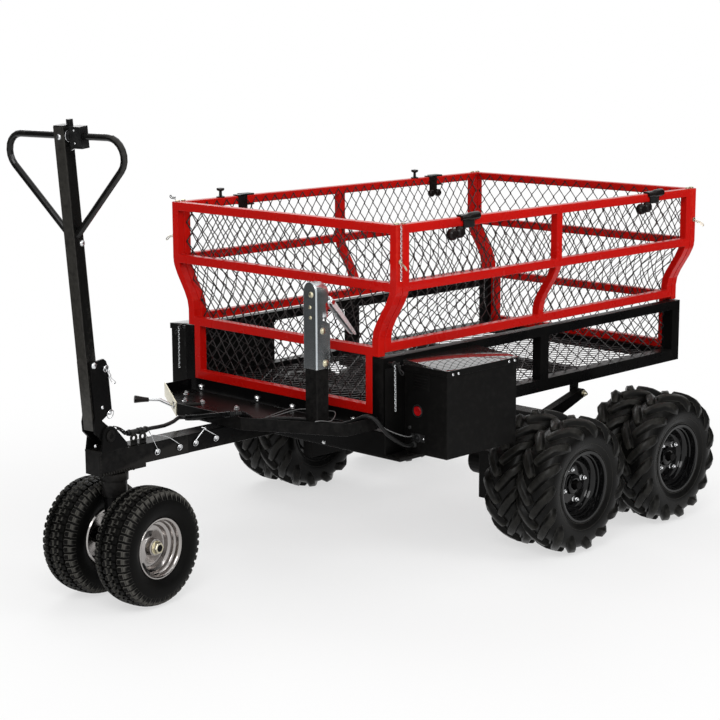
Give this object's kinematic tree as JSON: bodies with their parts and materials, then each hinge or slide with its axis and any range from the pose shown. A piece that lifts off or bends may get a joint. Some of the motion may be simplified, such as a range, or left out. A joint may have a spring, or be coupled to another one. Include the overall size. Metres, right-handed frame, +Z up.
{
  "type": "electric transport cart",
  "caption": "Battery-driven garden cart with a steered dual front wheel, tandem dual rear wheels on walking beams, a dumping mesh-sided bed, a loop handle and a tow coupler.",
  "frame": {"origin": "on the ground, midway along the cart's whole length and on its centre line", "axes": "+X from the handle to the rear gate, along the cart's longest extent; +Y to the far side, away from the tow coupler; +Z up"},
  "size_m": [2.1845, 1.322, 1.2893],
  "materials": {
    "red_paint": "gloss red enamel",
    "black_paint": "semi-gloss black powder coat",
    "black_mesh": "gloss black dipped expanded metal",
    "zinc": "bright zinc plate",
    "tyre_rubber": "black rubber",
    "silver_rim": "silver paint",
    "black_rim": "gloss black paint",
    "black_plastic": "fine-grained black plastic",
    "red_switch": "translucent red rocker, modelled opaque",
    "cable_black": "black cable sheath"
  },
  "bodies": {
    "chassis": {"chassis_spine": "black_paint", "tongue_head": "black_paint", "front_tray": "black_paint", "tray_latch_plate": "zinc", "front_crossmember": "black_paint", "rear_subframe": "black_paint", "tandem_pivot_shaft": "zinc", "coupler_post": "black_paint", "coupler_body": "zinc", "battery_box_near": "black_paint", "battery_box_far": "black_paint", "battery_lid_near": "black_paint", "battery_lid_far": "black_paint", "wiring_loom": "cable_black", "harness_connector": "black_plastic", "handle_lead": "cable_black"},
    "coupler_latch": {"coupler_latch": "zinc"},
    "dump_latch": {"dump_latch_lever": "zinc"},
    "switch": {"power_switch": "red_switch"},
    "steering": {"front_fork": "black_paint", "steering_yoke": "black_paint", "tilt_pin": "zinc"},
    "front_wheel_near": {"front_rim_near": "silver_rim", "front_tyre_near": "tyre_rubber"},
    "front_wheel_far": {"front_rim_far": "silver_rim", "front_tyre_far": "tyre_rubber"},
    "handle": {"steering_handle": "black_paint", "handle_bracket": "black_paint", "throttle_housing": "black_plastic"},
    "throttle": {"throttle_lever": "black_plastic"},
    "beam_near": {"drive_case_near": "black_paint"},
    "beam_far": {"drive_case_far": "black_paint"},
    "bed": {"bed_frame": "black_paint", "floor_mesh": "black_mesh", "lower_mesh_near": "black_mesh", "lower_mesh_far": "black_mesh", "side_panel_near": "red_paint", "side_panel_far": "red_paint", "side_mesh_near": "black_mesh", "side_mesh_far": "black_mesh", "rail_clamp_near_1": "black_plastic", "rail_clamp_near_2": "black_plastic", "rail_clamp_far_1": "black_plastic", "rail_clamp_far_2": "black_plastic"},
    "front_gate": {"front_gate": "red_paint", "front_gate_mesh": "black_mesh"},
    "rear_gate": {"rear_gate": "red_paint", "rear_gate_mesh": "black_mesh"},
    "rear_wheel_near_front": {"dual_rim_near_front": "black_rim", "inner_tyre_near_front": "tyre_rubber", "outer_tyre_near_front": "tyre_rubber"},
    "rear_wheel_near_rear": {"dual_rim_near_rear": "black_rim", "inner_tyre_near_rear": "tyre_rubber", "outer_tyre_near_rear": "tyre_rubber"},
    "rear_wheel_far_front": {"dual_rim_far_front": "black_rim", "inner_tyre_far_front": "tyre_rubber", "outer_tyre_far_front": "tyre_rubber"},
    "rear_wheel_far_rear": {"dual_rim_far_rear": "black_rim", "inner_tyre_far_rear": "tyre_rubber", "outer_tyre_far_rear": "tyre_rubber"}
  },
  "joints": [
    {"name": "bed_dump", "type": "hinge", "parent": "chassis", "child": "bed", "pos_m": [0.67335, 0, 0.37], "axis": [0, 1, 0], "range_deg": [0, 35]},
    {"name": "front_gate_lift", "type": "slide", "parent": "bed", "child": "front_gate", "axis": [0, 0, 1], "range_m": [0, 0.3]},
    {"name": "rear_gate_lift", "type": "slide", "parent": "bed", "child": "rear_gate", "axis": [0, 0, 1], "range_m": [0, 0.3]},
    {"name": "steering", "type": "hinge", "parent": "chassis", "child": "steering", "pos_m": [-0.91665, 0, 0.4183], "axis": [0, 0, 1], "range_deg": [-53, 37], "deforming": ["handle_lead"]},
    {"name": "handle_tilt", "type": "hinge", "parent": "steering", "child": "handle", "pos_m": [-0.95725, -0.00571, 0.461], "axis": [-0.1392, 0.9903, 0], "range_deg": [-40, 10]},
    {"name": "throttle_turn", "type": "hinge", "parent": "handle", "child": "throttle", "pos_m": [-1.05618, -0.03703, 1.24692], "axis": [-0.1392, 0.9903, 0], "range_deg": [0, 25], "stiffness_Nm_per_rad": 0.4, "springref_deg": -17.19},
    {"name": "front_wheel_near_spin", "type": "hinge", "parent": "steering", "child": "front_wheel_near", "pos_m": [-0.88257, -0.09165, 0.16], "axis": [-0.1392, 0.9903, 0], "continuous": true},
    {"name": "front_wheel_far_spin", "type": "hinge", "parent": "steering", "child": "front_wheel_far", "pos_m": [-0.90915, 0.09749, 0.16], "axis": [-0.1392, 0.9903, 0], "continuous": true},
    {"name": "coupler_latch", "type": "hinge", "parent": "chassis", "child": "coupler_latch", "pos_m": [-0.40565, -0.3, 0.782], "axis": [0, 1, 0], "range_deg": [0, 38]},
    {"name": "dump_latch", "type": "hinge", "parent": "chassis", "child": "dump_latch", "pos_m": [-0.48977, 0.13778, 0.448], "axis": [0, 0, -1], "range_deg": [0, 15]},
    {"name": "power_switch", "type": "hinge", "parent": "chassis", "child": "switch", "pos_m": [-0.23065, -0.464, 0.4765], "axis": [0, 1, 0], "range_deg": [0, 10]},
    {"name": "beam_swing_near", "type": "hinge", "parent": "chassis", "child": "beam_near", "pos_m": [0.51285, -0.352, 0.2175], "axis": [0, 1, 0], "range_deg": [-8, 8]},
    {"name": "rear_wheel_near_front_spin", "type": "hinge", "parent": "beam_near", "child": "rear_wheel_near_front", "pos_m": [0.27735, -0.544, 0.2], "axis": [0, 1, 0], "continuous": true},
    {"name": "rear_wheel_near_rear_spin", "type": "hinge", "parent": "beam_near", "child": "rear_wheel_near_rear", "pos_m": [0.74835, -0.544, 0.2], "axis": [0, 1, 0], "continuous": true},
    {"name": "beam_swing_far", "type": "hinge", "parent": "chassis", "child": "beam_far", "pos_m": [0.51285, 0.352, 0.2175], "axis": [0, 1, 0], "range_deg": [-8, 8]},
    {"name": "rear_wheel_far_front_spin", "type": "hinge", "parent": "beam_far", "child": "rear_wheel_far_front", "pos_m": [0.27735, 0.544, 0.2], "axis": [0, 1, 0], "continuous": true},
    {"name": "rear_wheel_far_rear_spin", "type": "hinge", "parent": "beam_far", "child": "rear_wheel_far_rear", "pos_m": [0.74835, 0.544, 0.2], "axis": [0, 1, 0], "continuous": true}
  ]
}
